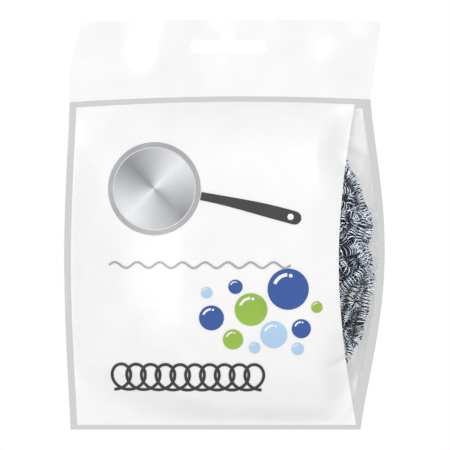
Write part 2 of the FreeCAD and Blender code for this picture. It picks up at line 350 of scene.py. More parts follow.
def pillow(x, z):
    """Depth of a ply off the plane of the welds.

    The crown's depth times a rise from each edge: power curves from the left, the right and the top, and from
    the bottom a power curve times a ramp, long and level at its foot at the left, short and steep at its foot
    at the right. In the window, with a change to it under the print's last stretch, the ply lies close on
    the scrubber, slants down from it to the weld and is nearly flat in the corners beyond it: the least of
    these depths.
    """
    across = across_share(x, z)
    top = pocket_top(np.clip(across, 0, 1))
    down = (top - z) / (top - pocket_bottom)
    left_rise = 1 - np.clip(1 - (x - pocket_left(z)) / left_ramp, 0, 1) ** left_power
    right_rise = 1 - np.clip(2 * across - 1, 0, 1) ** right_power
    top_rise = 1 - np.clip(1 - 2 * down, 0, 1) ** end_power
    bottom_rise = 1 - np.clip(2 * down - 1, 0, 1) ** end_power
    to_right = smooth(across / ramp_change_share)
    ramp = np.clip((z - pocket_bottom) / mix(bottom_ramp_left, bottom_ramp_right, to_right), 0, 1)
    bottom_rise = bottom_rise * mix(smooth(ramp), 1 - (1 - ramp) ** 2, to_right)
    crown = crown_depth * left_rise * right_rise * top_rise * bottom_rise
    inset = scrubber_half + rim_bump(x, z) - loop_size(x, z)
    over_strands = strand_depth(inset) + strand_diameter / 2 + film_room
    beyond = smooth((-inset - strand_diameter / 2) / corner_reach)
    flank = flank_slope * np.maximum(pocket_right(z) - x, 0)
    close = lesser(lesser(mix(over_strands, corner_depth, beyond), flank), crown)
    return mix(crown, close, smooth((x - print_right(z)) / tight_reach + 1))


def slanted_wave(x, z, height, run, rise, length, phase):
    """Sine wave of a height along a slant, which is run times X plus rise times Z."""
    return height * np.sin((x * run + z * rise) / length + phase)


def creases(x, z):
    """Soft folds of the film, faded to nothing at the welds: slanted ripples less a few long dents."""
    across = across_share(x, z)
    down = down_share(z)
    sides = smooth(across / crease_fade_left) * smooth((1 - across) / crease_fade_right)
    ends = smooth(down / crease_fade_ends) * smooth((1 - down) / crease_fade_ends)
    at_foot = slanted_wave(x, z, *foot_ripple) * bell(down, *foot_ripple_down)
    at_left = slanted_wave(x, z, *left_ripple) * bell(across, *left_ripple_across)
    dents = sum(depth * bell(x + slope * z, place, reach) * bell(down, middle, length)
                for depth, slope, place, reach, middle, length in film_dents)
    return (at_foot + at_left - dents) * sides * ends


def front_depth(x, z):
    """Depth of the front ply: the pillow and its creases, never behind the plane of the welds."""
    return np.maximum(pillow(x, z) + creases(x, z), 0)


def back_depth(x, z):
    """Depth of the back ply: the pillow and softer creases, turned over top to bottom."""
    turned_over = mix(-seam_drop, -bag_drop, 1 - down_share(z))
    return np.maximum(pillow(x, z) + creases(x, turned_over) * back_crease_share, 0)


# Meshes

def grid_quads(rows, columns, wrap_rows=False, wrap_columns=False, first=0):
    """Four corner numbers for each cell of a grid of points, with its edges joined where it wraps."""
    numbers = first + np.arange(rows * columns).reshape(rows, columns)
    if wrap_rows:
        numbers = np.concatenate([numbers, numbers[:1]], axis=0)
    if wrap_columns:
        numbers = np.concatenate([numbers, numbers[:, :1]], axis=1)
    corners = [numbers[:-1, :-1], numbers[1:, :-1], numbers[1:, 1:], numbers[:-1, 1:]]
    return np.stack([corner.ravel() for corner in corners], axis=1)


def shell(x, z, outer_depth, inner_depth, wrap=False):
    """Closed sheet over a grid of X and Z between two depths: both faces, and walls round the open edges."""
    rows, columns = x.shape
    count = rows * columns
    outer_quads = grid_quads(rows, columns, wrap_rows=wrap)
    inner_quads = grid_quads(rows, columns, wrap_rows=wrap, first=count)[:, ::-1]
    numbers = np.arange(count).reshape(rows, columns)
    if wrap:
        edges = [np.append(numbers[:, 0], numbers[0, 0]), np.append(numbers[::-1, -1], numbers[-1, -1])]
    else:
        rim = [numbers[:-1, 0], numbers[-1, :-1], numbers[:0:-1, -1], numbers[0, ::-1]]
        edges = [np.concatenate(rim)]
    walls = [np.stack([e[:-1], e[:-1] + count, e[1:] + count, e[1:]], axis=1)[:, ::-1] for e in edges]
    faces = [np.stack([x, depth, z], axis=-1).reshape(-1, 3) for depth in (outer_depth, inner_depth)]
    return np.concatenate(faces), [np.concatenate([outer_quads, inner_quads] + walls)]


def joined(shapes):
    """Several closed shapes as one: all points in a row, with each shape's corner numbers moved on."""
    firsts = np.cumsum([0] + [len(points) for points, _ in shapes[:-1]])
    kinds = zip(*[polygons for _, polygons in shapes])
    polygons = [np.concatenate([corners + first for corners, first in zip(kind, firsts)]) for kind in kinds]
    return np.concatenate([points for points, _ in shapes]), polygons


def signed_volume(points, polygons):
    """Volume inside the faces, below zero when they point inwards: a sum of tetrahedra from the origin."""
    total = 0.0
    for corners in polygons:
        first = points[corners[:, 0]]
        for step in range(1, corners.shape[1] - 1):
            cross = np.cross(points[corners[:, step]], points[corners[:, step + 1]])
            total += (first * cross).sum() / 6
    return total


def make_mesh(name, points, polygons):
    """Mesh of points in millimetres and arrays of faces, turned so that the faces point outwards."""
    if signed_volume(points - points.mean(axis=0), polygons) < 0:
        polygons = [corners[:, ::-1] for corners in polygons]
    loops = np.concatenate([corners.ravel() for corners in polygons])
    sizes = np.concatenate([np.full(len(corners), corners.shape[1]) for corners in polygons])
    mesh = bpy.data.meshes.new(name)
    mesh.vertices.add(len(points))
    mesh.vertices.foreach_set("co", (points * MM).astype(np.float32).ravel())
    mesh.loops.add(len(loops))
    mesh.loops.foreach_set("vertex_index", loops.astype(np.int32))
    mesh.polygons.add(len(sizes))
    mesh.polygons.foreach_set("loop_start", (np.cumsum(sizes) - sizes).astype(np.int32))
    mesh.update(calc_edges=True)
    mesh.shade_smooth()
    return mesh


def add_piece(name, shape, material, nodes, sharp_angle=25):
    """Object at the origin with that shape and finish, standing for the named nodes."""
    mesh = make_mesh(name, *shape)
    mesh.set_sharp_from_angle(angle=math.radians(sharp_angle))
    mesh.materials.append(material)
    piece = bpy.data.objects.new(name, mesh)
    bpy.context.scene.collection.objects.link(piece)
    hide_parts(*nodes)
    return piece


def flatten_when_empty(piece):
    """A ply of the bag rides with it, on its own copy of the mesh."""
    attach(piece, "bag")
    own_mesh(piece)


# Finishes: noise scales are per metre, heights of bumps in metres

mottle_scale = 90
mottle_stops = (0.3, 0.7)
gloss_ripple_scale = 160
gloss_ripple_height = 0.0006
coat_roughness = 0.12
passed_light = (0.97, 0.97, 0.965, 1)
ink_gloss = (0.3, 0.25, 0.08)
clear_ripple_scale = 120
clear_ripple_height = 0.0008
face_gloss = 0.012
edge_gloss = 0.3
edge_gloss_power = 4
wire_patch_scale = 300
wire_patch_share = 0.5
# Wire tones run from painted shade, near black, to painted light, bright bluish white, by curl side and
# random patches
wire_tones_painted_shade = ((0.40, (0.004, 0.009, 0.018)), (0.58, (0.07, 0.105, 0.18)), (0.69, (0.84, 0.91, 1.0)))
wire_gloss_scale = 700
wire_roughness = ((0.3, (0.16,) * 3), (0.7, (0.36,) * 3))
wire_mark_scale = 2500
wire_mark_strength = 0.15
wire_mark_height = 0.0001


def add_node(tree, kind, inputs):
    """Node of a kind, each input linked to another node's output or set to a plain value."""
    node = tree.nodes.new(kind)
    for name, value in inputs.items():
        if isinstance(value, bpy.types.NodeSocket):
            tree.links.new(value, node.inputs[name])
        else:
            node.inputs[name].default_value = value
    return node


def new_material(name):
    """Empty material, with its tree of nodes and the object's own coordinates for its patterns."""
    material = bpy.data.materials.new(name)
    material.use_nodes = True
    tree = material.node_tree
    tree.nodes.clear()
    return material, tree, add_node(tree, "ShaderNodeTexCoord", {}).outputs["Object"]


def set_surface(tree, shader):
    """Makes a shader the surface of its material."""
    add_node(tree, "ShaderNodeOutputMaterial", {"Surface": shader})


def noise(tree, place, scale, detail):
    """Noise of a scale and detail at a place, from 0 to 1."""
    inputs = {"Vector": place, "Scale": scale, "Detail": detail}
    return add_node(tree, "ShaderNodeTexNoise", inputs).outputs["Fac"]


def raised(tree, height, strength, distance):
    """Normal of a surface that is raised by a height times the distance."""
    inputs = {"Height": height, "Strength": strength, "Distance": distance}
    return add_node(tree, "ShaderNodeBump", inputs).outputs["Normal"]


def tones(tree, share, stops):
    """Colour ramp with the given places and colours."""
    ramp = add_node(tree, "ShaderNodeValToRGB", {"Fac": share})
    elements = ramp.color_ramp.elements
    while len(elements) < len(stops):
        elements.new(0.5)
    for element, (place, colour) in zip(elements, stops):
        element.position = place
        element.color = (*colour, 1)
    return ramp.outputs["Color"]


def worked_out(tree, operation, *terms):
    """Result of one operation on terms."""
    node = add_node(tree, "ShaderNodeMath", dict(enumerate(terms)))
    node.operation = operation
    return node.outputs["Value"]


def mixed(tree, share, first, second):
    """Mix of two shaders, with the share of the second one."""
    return add_node(tree, "ShaderNodeMixShader", {"Fac": share, 1: first, 2: second}).outputs["Shader"]


def gloss_shader(tree, place, colour, roughness, coat, ripple):
    """Colour under a soft gloss, rippled by noise."""
    normal = raised(tree, noise(tree, place, gloss_ripple_scale, 2), ripple, gloss_ripple_height)
    inputs = {"Base Color": colour, "Roughness": roughness, "Coat Weight": coat, "Normal": normal}
    return add_node(tree, "ShaderNodeBsdfPrincipled", inputs)


def glossy_surface(name, dark, light, roughness, coat, ripple, through=0):
    """Coloured film or ink: a colour faintly mottled from dark to light under a soft gloss.

    A share of the light passes through it, as it does through thin printed film.
    """
    material, tree, place = new_material(name)
    mottle = noise(tree, place, mottle_scale, 4)
    colour = tones(tree, mottle, tuple(zip(mottle_stops, (dark, light))))
    surface = gloss_shader(tree, place, colour, roughness, coat, ripple)
    surface.inputs["Coat Roughness"].default_value = coat_roughness
    result = surface.outputs["BSDF"]
    if through:
        passed = add_node(tree, "ShaderNodeBsdfTranslucent", {"Color": passed_light})
        result = mixed(tree, through, result, passed.outputs["BSDF"])
    set_surface(tree, result)
    return material


def clear_surface(name, tint, roughness, ripple):
    """Clear film: tinted see-through, with a gloss that grows by a power towards the edge of sight."""
    material, tree, place = new_material(name)
    normal = raised(tree, noise(tree, place, clear_ripple_scale, 3), ripple, clear_ripple_height)
    through = add_node(tree, "ShaderNodeBsdfTransparent", {"Color": (*tint, 1)})
    gloss = add_node(tree, "ShaderNodeBsdfGlossy", {"Roughness": roughness, "Normal": normal})
    slant = add_node(tree, "ShaderNodeLayerWeight", {"Normal": normal})
    curve = worked_out(tree, "POWER", slant.outputs["Facing"], edge_gloss_power)
    share = worked_out(tree, "MULTIPLY_ADD", curve, edge_gloss, face_gloss)
    set_surface(tree, mixed(tree, share, through.outputs["BSDF"], gloss.outputs["BSDF"]))
    return material


def zinc_wire():
    """Galvanised wire: bluish metal with random patches, and painted light on each curl: bright on its
    outside, painted shade on its inside.
    """
    material, tree, place = new_material("zinc_wire")
    # Painted light of the curls: 1 on their outsides, painted bright, down to 0 on their insides, painted
    # shade
    painted_curl_light = add_node(tree, "ShaderNodeAttribute", {})
    painted_curl_light.attribute_name = "painted_curl_light"
    patches = noise(tree, place, wire_patch_scale, 3)
    inputs = {"Factor": wire_patch_share, "A": painted_curl_light.outputs["Fac"], "B": patches}
    blend = add_node(tree, "ShaderNodeMix", inputs)
    marks = noise(tree, place, wire_mark_scale, 2)
    inputs = {
        "Base Color": tones(tree, blend.outputs["Result"], wire_tones_painted_shade),
        "Roughness": tones(tree, noise(tree, place, wire_gloss_scale, 2), wire_roughness),
        "Normal": raised(tree, marks, wire_mark_strength, wire_mark_height),
        "Metallic": 1.0,
    }
    set_surface(tree, add_node(tree, "ShaderNodeBsdfPrincipled", inputs).outputs["BSDF"])
    return material


# White print and film: dark and light tone, roughness, coat and ripple
white_ink = glossy_surface("white_ink", (0.90, 0.90, 0.895), (0.93, 0.93, 0.925), 0.34, 0.2, 0.10)
back_ink = glossy_surface("back_ink", (0.94, 0.94, 0.93), (0.97, 0.97, 0.96), 0.34, 0.2, 0.10, through=0.6)
white_film = glossy_surface("white_film", (0.89, 0.893, 0.893), (0.92, 0.92, 0.92), 0.3, 0.25, 0.16)

# Inks of the design: dark and light tone
blue_ink = glossy_surface("blue_ink", (0.017, 0.072, 0.31), (0.024, 0.092, 0.36), *ink_gloss)
green_ink = glossy_surface("green_ink", (0.27, 0.47, 0.040), (0.32, 0.53, 0.055), *ink_gloss)
sky_ink = glossy_surface("sky_ink", (0.40, 0.60, 0.82), (0.46, 0.66, 0.86), *ink_gloss)
charcoal_ink = glossy_surface("charcoal_ink", (0.021, 0.021, 0.023), (0.032, 0.032, 0.035), *ink_gloss)
grey_ink = glossy_surface("grey_ink", (0.36, 0.365, 0.37), (0.42, 0.425, 0.43), *ink_gloss)

# Clear film, single and welded: tint, roughness and ripple
clear_film = clear_surface("clear_film", (0.99, 0.99, 0.99), 0.05, 0.25)
weld_film = clear_surface("weld_film", (0.80, 0.803, 0.803), 0.12, 0.3)
wire_finish_painted_shade = zinc_wire()


# Plies of the header

def slot_outline(angles):
    """Distance from the slot's middle to its edge along each angle.

    The slot is the union of a round-ended bar and a round bump above its middle, so the distance along a
    ray is the further of the two, and a soft maximum rounds the corner between them.
    """
    cos, sin = np.cos(angles), np.sin(angles)
    radius = slot_height / 2
    straight = slot_width / 2 - radius
    flat = radius / np.maximum(np.abs(sin), 1e-6)
    ends = straight * np.abs(cos) + np.sqrt(np.maximum(radius ** 2 - (straight * sin) ** 2, 0))
    bar = np.where(flat * np.abs(cos) < straight, flat, ends)
    bump_radius = slot_bump_width / 2
    bump_at = radius + slot_bump_rise - bump_radius
    reach = bump_radius ** 2 - (bump_at * cos) ** 2
    bump = np.where(reach > 0, bump_at * sin + np.sqrt(np.maximum(reach, 0)), 0)
    difference = bar - bump
    return (bar + bump + np.sqrt(difference ** 2 + (slot_corner / 2) ** 2)) / 2


def header_sides(z):
    """Left and right edge of the header at a height: a bowed left edge and a straight right one."""
    share = (z + seam_drop) / (header_rise + seam_drop)
    left = -mix(bag_left_top, header_left, share) - header_left_bow * bow(share, 1)
    right = mix(bag_right_top, header_right, share)
    return left, right


def header_top(x):
    """Top edge of the header: nearly level, with a slow sine wave below its highest point."""
    wave = np.sin(x / top_edge_length + top_edge_phase)
    return header_rise - top_edge_wave * 0.5 + top_edge_wave * wave * 0.5


def header_foot(x):
    """Lower edge of the header: the seam, with a small overlap."""
    across = np.clip((x + bag_left_top) / (bag_left_top + bag_right_top), 0, 1)
    return seam_height(across) - header_overlap


def header_edge(count):
    """Outer edge of the header as points, from the right end of its foot anticlockwise."""
    share = np.linspace(0, 1, count, endpoint=False)
    foot_z = header_foot(np.array([bag_right_top, -bag_left_top]))
    up = mix(foot_z[0], header_top(header_right), share)
    right = header_sides(up)[1], up
    top_x = mix(header_right, -header_left, share)
    top = top_x, header_top(top_x)
    down = mix(header_top(-header_left), foot_z[1], share)
    left = header_sides(down)[0], down
    foot_x = mix(-bag_left_top, bag_right_top, share)
    foot = foot_x, header_foot(foot_x)
    return np.concatenate([np.stack(side, axis=1) for side in (right, top, left, foot)])


def header_ripple(x, z):
    """How far the header waves out of its plane: a sum of sines, none at the fold and calmer at the slot."""
    loose = smooth((z + seam_drop) / header_loose_at)
    wave = sum(share * np.sin(x / across + z / up + phase) for share, across, up, phase in header_waves)
    from_slot = (np.hypot(x / slot_calm_stretch, z) - slot_calm_radius) / slot_calm_reach
    return header_wave * loose * wave * mix(slot_wave_share, 1, smooth(from_slot))


def header_ply(name, node, side):
    """One ply of the header: rings of points from the slot's edge out to the header's edge."""
    edge = header_edge(header_edge_points)
    angles = np.arctan2(edge[:, 1], edge[:, 0])
    slot = slot_outline(angles)[:, None] * np.stack([np.cos(angles), np.sin(angles)], axis=1)
    share = np.linspace(0, 1, header_rings)[None, :, None]
    plane = mix(slot[:, None, :], edge[:, None, :], share)
    x, z = plane[..., 0], plane[..., 1]
    middle = header_ripple(x, z)
    outer = middle + side * (film + header_ply_gap)
    inner = middle + side * header_ply_gap
    piece = add_piece(name, shell(x, z, outer, inner, wrap=True), white_film, [node])
    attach(piece, "header")


header_ply("header_front_ply", "header_front", -1)
header_ply("header_back_ply", "header_back", 1)


# Welds as strips of two plies

def band_foot(across):
    """Lower edge of the weld under the header, which the side welds join."""
    return pocket_top(across) - weld_below_print


def fold_band():
    """Weld under the header, from the header's foot to just below the print."""
    across, down = np.meshgrid(np.linspace(0, 1, band_columns), np.linspace(0, 1, band_rows), indexing="ij")
    z = mix(seam_height(across), band_foot(across), down)
    x = mix(bag_left(z), bag_right(z), across)
    level = np.zeros_like(x)
    strip = shell(x, z, level - film, level + film)
    piece = add_piece("fold_band", strip, weld_film, ["top_seal"])
    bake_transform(piece)


def side_margin():
    """Welds down the left side, along the bottom and up the right side, as one strip with square corners.

    Its points lie on straight lines from the pocket's edge to the bag's edge, and it waves more towards the
    bag's edge: a sine times the square of that share.
    """
    share = np.linspace(0, 1, margin_points)
    width = np.linspace(0, 1, margin_rows)[None, :]
    seam_width = bag_left_top + bag_right_top
    inner_left = mix(band_foot(left_weld / seam_width), pocket_bottom, share)
    outer_left = mix(band_foot(0), -bag_drop, share)
    inner_right = mix(pocket_bottom, band_foot(1 - right_weld_top / seam_width), share)
    outer_right = mix(-bag_drop, band_foot(1), share)
    inner_foot = mix(pocket_left(pocket_bottom), pocket_right(pocket_bottom), share[1:-1])
    outer_foot = mix(bag_left(-bag_drop), bag_right(-bag_drop), share[1:-1])
    inner_x = np.concatenate([pocket_left(inner_left), inner_foot, pocket_right(inner_right)])
    outer_x = np.concatenate([bag_left(outer_left), outer_foot, bag_right(outer_right)])
    inner_z = np.concatenate([inner_left, np.full_like(inner_foot, pocket_bottom), inner_right])
    outer_z = np.concatenate([outer_left, np.full_like(outer_foot, -bag_drop), outer_right])
    x = mix(inner_x[:, None], outer_x[:, None], width)
    z = mix(inner_z[:, None], outer_z[:, None], width)
    loose = width ** 2 * smooth(down_share(z) / weld_wave_from)
    wave = weld_wave * loose * np.sin(x / weld_wave_across + z / weld_wave_up)
    strip = shell(x, z, wave - film, wave + film)
    nodes = ["left_seal", "bottom_seal", "right_seal"]
    piece = add_piece("side_margin", strip, weld_film, nodes)
    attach(piece, "bag")


fold_band()
side_margin()


# Film and white print over the pocket

def pocket_grid(right_edge, overlap, notch):
    """X and Z over the pocket, from the left weld to a right edge, with an overlap onto the other welds.

    Over the window the top edge is lower by the notch.
    """
    across, down = np.meshgrid(np.linspace(0, 1, ply_columns), np.linspace(0, 1, ply_rows))
    z = mix(pocket_top(across), pocket_bottom, down)
    x = mix(pocket_left(z), right_edge(z), across)
    top = pocket_top(np.clip(across_share(x, z), 0, 1)) + overlap
    top = top - notch * smooth((x - print_right(z)) / notch_run + 1)
    z = mix(top, pocket_bottom - overlap, down)
    return mix(pocket_left(z) - overlap, right_edge(z), across), z


def add_ply(name, node, shape, material):
    """Ply of the bag that stands for a node."""
    flatten_when_empty(add_piece(name, shape, material, [node]))


def film_ply(name, node, depth, side):
    """Clear film on the pocket's surface, to the front (-1) or to the back (1)."""
    x, z = pocket_grid(pocket_right, 0, 0)
    surface = depth(x, z)
    add_ply(name, node, shell(x, z, side * (surface + film), side * surface), clear_film)


def ink_ply(name, node, depth, side, right_edge, notch, material):
    """White ink on the film, up to a right edge and a little onto the other welds."""
    x, z = pocket_grid(right_edge, ink_overlap, notch)
    surface = depth(x, z) + ink_lift
    add_ply(name, node, shell(x, z, side * (surface + ink), side * surface), material)


film_ply("front_ply", "front_film", front_depth, -1)
film_ply("back_ply", "back_film", back_depth, 1)
ink_ply("front_white", "front_print", front_depth, -1, print_right, 0, white_ink)
ink_ply("back_white", "back_print", back_depth, 1, pocket_right, ink_overlap + weld_below_print, back_ink)


# Printed design on the front: a pan seen from above, a wavy line, soap bubbles and a coil of wire

pan_middle = (-31.0, -60.0)
pan_radius = 19.5
pan_lip = 2.0
pan_lip_gap = 0.4
handle_gap = 0.3
handle_turn = -0.16
handle_bend = 0.05
handle_length = 43.0
handle_width = 5.6
handle_neck_share = 0.62
handle_swell_share = 0.8
handle_round_from = 0.93
handle_round_share = 0.0702
handle_hole_at = 0.9
handle_hole = 1.3
handle_points = 90
line_start = (-50.0, -92.0)
line_length = 76.0
line_width = 0.9
line_wave = 1.2
line_waves = 8
line_points = 420
coil_start = (-48.0, -139.0)
coil_length = 62.0
coil_radius = 5.4
coil_loops = 10
coil_stroke = 1.25
coil_lift = 0.03
coil_points = 1500

# Bubbles: X and Z of the middle, and radius
blue_bubbles = ((25.0, -102.0, 8.6), (-7.0, -114.0, 5.2), (30.5, -118.5, 4.0), (3.0, -101.0, 3.0))
green_bubbles = ((9.5, -110.5, 6.8), (2.0, -123.0, 4.2), (37.0, -109.5, 2.4))
sky_bubbles = ((19.0, -121.0, 5.6), (-9.0, -103.5, 2.4), (11.0, -126.5, 2.4), (29.0, -127.0, 2.6))

# Shine of a bubble: band in shares of the radius and of a turn, spot placed in shares of the band's radius
shine_share = 0.62
shine_width = 0.16
shine_turns = (0.26, 0.44)
spot_across = 0.2
spot_up = 1.05
spot_radius = 0.09

# Tones of the pan's steel
steel_light = (0.80, 0.81, 0.83)
steel_middle = (0.50, 0.51, 0.53)
steel_dark = (0.24, 0.25, 0.27)


def steel_print():
    """Printed steel: light and dark rays that turn about the pan's middle, as on spun metal."""
    material, tree, place = new_material("steel_print")
    middle = (pan_middle[0] * MM, 0, pan_middle[1] * MM)
    inputs = {"Vector": place, "Location": middle, "Rotation": (math.pi / 2, 0, 0)}
    about = add_node(tree, "ShaderNodeMapping", inputs)
    about.vector_type = "TEXTURE"
    rays = add_node(tree, "ShaderNodeTexGradient", {"Vector": about.outputs["Vector"]})
    rays.gradient_type = "RADIAL"
    greys = (steel_middle, steel_light, steel_middle, steel_dark) * 2 + (steel_middle,)
    stops = [(index / (len(greys) - 1), grey) for index, grey in enumerate(greys)]
    colour = tones(tree, rays.outputs["Fac"], stops)
    set_surface(tree, gloss_shader(tree, place, colour, *ink_gloss).outputs["BSDF"])
    return material


def printed(x, z, wrap=False, over=0):
    """Thin closed layer of ink on the white print, over a grid of X and Z."""
    level = front_depth(x, z) + design_lift + over
    return shell(x, z, -level - design_ink, -level, wrap)


def disc(middle, radius, cells=26):
    """Round patch: a square grid drawn into a circle, each side shortened by the other's square."""
    a, b = np.meshgrid(np.linspace(-1, 1, cells), np.linspace(-1, 1, cells))
    return middle[0] + radius * a * np.sqrt(1 - b * b / 2), middle[1] + radius * b * np.sqrt(1 - a * a / 2)


def ring(middle, inner, outer, start=0, end=1, cells=96):
    """Part of a round band, from one turn to another."""
    whole = end - start == 1
    turns = np.linspace(start, end, cells, endpoint=not whole)[:, None] * 2 * math.pi
    radius = np.linspace(inner, outer, 4)[None, :]
    return middle[0] + radius * np.cos(turns), middle[1] + radius * np.sin(turns)


def stroke(x, z, width):
    """Band of a width along a line of points, to both sides of it."""
    along_x, along_z = np.gradient(x), np.gradient(z)
    length = np.hypot(along_x, along_z)
    side = np.linspace(-0.5, 0.5, 4)[None, :] * np.broadcast_to(width, x.shape)[:, None]
    return x[:, None] - side * (along_z / length)[:, None], z[:, None] + side * (along_x / length)[:, None]


def add_print(name, shapes, material):
    """Printed shapes of one ink as a piece of the bag."""
    flatten_when_empty(add_piece(name, joined(shapes), material, []))


def handle_point(reach, share):
    """Point on the handle's middle line, which bends a little more towards its end."""
    angle = handle_turn - handle_bend * share
    return pan_middle[0] + reach * np.cos(angle), pan_middle[1] + reach * np.sin(angle)


def print_pan():
    """Pan from above: a spun base, a lip round it, and a handle that swells towards its round end."""
    base = disc(pan_middle, pan_radius - pan_lip - pan_lip_gap, 44)
    add_print("printed_pan_base", [printed(*base)], steel_print())
    lip = ring(pan_middle, pan_radius - pan_lip, pan_radius)
    add_print("printed_pan_lip", [printed(*lip, wrap=True)], grey_ink)
    share = np.linspace(0, 1, handle_points)
    round_end = np.clip((share - handle_round_from) / handle_round_share, 0, 1)
    width = handle_width * mix(handle_neck_share, 1, smooth(share / handle_swell_share))
    width = width * np.sqrt(np.clip(1 - round_end ** 2, 1e-3, 1))
    handle = stroke(*handle_point(pan_radius + handle_gap + handle_length * share, share), width)
    add_print("printed_pan_handle", [printed(*handle)], charcoal_ink)
    hole = handle_point(pan_radius + handle_length * handle_hole_at, handle_hole_at)
    add_print("printed_pan_hole", [printed(*disc(hole, handle_hole, 10), over=over_design)], white_ink)


def print_lines():
    """A thin wavy line and a coil: a circle carried along a level line."""
    share = np.linspace(0, 1, line_points)
    x = line_start[0] + line_length * share
    wave = line_start[1] + line_wave * np.sin(share * line_waves * 2 * math.pi)
    add_print("printed_line", [printed(*stroke(x, wave, line_width))], grey_ink)
    share = np.linspace(0, 1, coil_points)
    turn = share * coil_loops * 2 * math.pi - math.pi / 2
    x = coil_start[0] + coil_length * share + coil_radius * np.cos(turn)
    z = coil_start[1] + coil_radius * np.sin(turn)
    over = coil_lift * np.sin(turn)[:, None]
    add_print("printed_coil", [printed(*stroke(x, z, coil_stroke), over=over)], charcoal_ink)


def bubble_shine(x, z, radius):
    """Curved band of light at a bubble's upper left, and a spot beside it."""
    inner, outer = radius * shine_share, radius * (shine_share + shine_width)
    band = ring((x, z), inner, outer, *shine_turns, 24)
    spot = (x + inner * spot_across, z + inner * spot_up)
    return [printed(*shape, over=over_design) for shape in (band, disc(spot, radius * spot_radius, 8))]


def print_bubbles():
    """Soap bubbles: round patches in three inks, each with its shine."""
    groups = (("blue", blue_bubbles, blue_ink), ("green", green_bubbles, green_ink),
              ("sky", sky_bubbles, sky_ink))
    shines = []
    for name, bubbles, material in groups:
        patches = [printed(*disc((x, z), radius)) for x, z, radius in bubbles]
        add_print(f"printed_{name}_bubbles", patches, material)
        for bubble in bubbles:
            shines += bubble_shine(*bubble)
    add_print("printed_bubble_shine", shines, white_ink)


print_pan()
print_lines()
print_bubbles()


# Springs of the scrubber

def rounded_square(turns):
    """Point on a square of half size 1 with round corners, after some turns from its right side's middle.

    Each quarter turn covers half a straight run, a quarter circle of the corner share and half a run.
    """
    corner = loop_corner_share
    run = 1 - corner
    side = np.floor(turns * 4 + 0.5)
    along = (turns * 4 - side) * (2 * run + corner * math.pi / 2)
    bend = np.sign(along) * np.maximum(np.abs(along) - run, 0) / corner
    out = run + corner * np.cos(bend)
    up = np.clip(along, -run, run) + corner * np.sin(bend)
    angle = side * math.pi / 2
    return out * np.cos(angle) - up * np.sin(angle), out * np.sin(angle) + up * np.cos(angle)


def loop_points(turns, size, depth):
    """Points on rounded squares of a half size about the scrubber's middle, at a depth."""
    across, up = rounded_square(turns)
    level = np.broadcast_to(depth, turns.shape)
    return np.stack([scrubber_x + across * size, level, scrubber_z + up * size], axis=1)


def strand_path(first_side, inset_in, layer_in, inset_out, layer_out):
    """Middle of a strand: a spiral in to the eye on one layer, a climb there, and a spiral out on another."""
    eye_inset = scrubber_half - eye_radius
    step = loop_pitch / 4
    sides_in = int((eye_inset - inset_in) / step)
    sides_out = int((eye_inset - inset_out) / step)
    sides_out -= (sides_in + 2 + sides_out - first_side) % 4
    turns_in, turns_out = sides_in / 4, sides_out / 4
    turns = np.linspace(first_side / 4, turns_in + climb_turns + turns_out, strand_points)
    way_in = np.clip(turns / turns_in, 0, 1)
    climb = smooth((turns - turns_in) / climb_turns)
    way_out = np.clip((turns - turns_in - climb_turns) / turns_out, 0, 1)
    inset = mix(mix(inset_in, eye_inset, way_in), inset_out, way_out)
    return loop_points(turns, scrubber_half - inset, layer_depth(mix(layer_in, layer_out, climb)))


def evenly(path, step):
    """Distances at an even step along a path, and the path's points there."""
    travel = np.append(0, np.cumsum(np.linalg.norm(np.diff(path, axis=0), axis=1)))
    stations = np.linspace(0, travel[-1], int(travel[-1] / step) + 1)
    return stations, np.stack([np.interp(stations, travel, path[:, axis]) for axis in range(3)], axis=1)


def sway(stations, amounts, lengths, random):
    """Sideways wander along a path: for each axis a sum of sines with random phases."""
    phases = random.uniform(0, 2 * math.pi, (len(lengths), 3))
    waves = [amount * np.sin(2 * math.pi * stations[:, None] / length + phase)
             for amount, length, phase in zip(amounts, lengths, phases)]
    return np.sum(waves, axis=0)


def keep_in_pocket(path):
    """Moves points of a path that come too near the film back to a strand's room, square to its slope."""
    z = path[:, 2]
    x = np.minimum(path[:, 0], pocket_right(z) - strand_room * math.hypot(1, 1 / flank_slope))
    depth = np.minimum(front_depth(x, z), back_depth(x, z))
    rise = (pillow(x + slope_step, z) - pillow(x - slope_step, z)) / (2 * slope_step)
    climb = (pillow(x, z + slope_step) - pillow(x, z - slope_step)) / (2 * slope_step)
    limit = np.maximum(depth - strand_room * np.sqrt(1 + rise ** 2 + climb ** 2), 0)
    return np.stack([x, np.clip(path[:, 1], -limit, limit), z], axis=1)


def bump_out(path):
    """Pushes the loops near the rim's right side out to its bumps."""
    x, z = path[:, 0], path[:, 2]
    near = smooth(1 - (scrubber_half - loop_size(x, z)) / bump_depth)
    outwards = unit(np.stack([x - scrubber_x, np.zeros_like(x), z - scrubber_z], axis=1))
    return path + outwards * (rim_bump(x, z) * near)[:, None]


def wandering(path, waves, random):
    """Path of a strand that wanders about its loops, follows the rim's bumps and stays in the pocket."""
    stations, path = evenly(path, path_step)
    return keep_in_pocket(bump_out(path + sway(stations, *waves, random)))


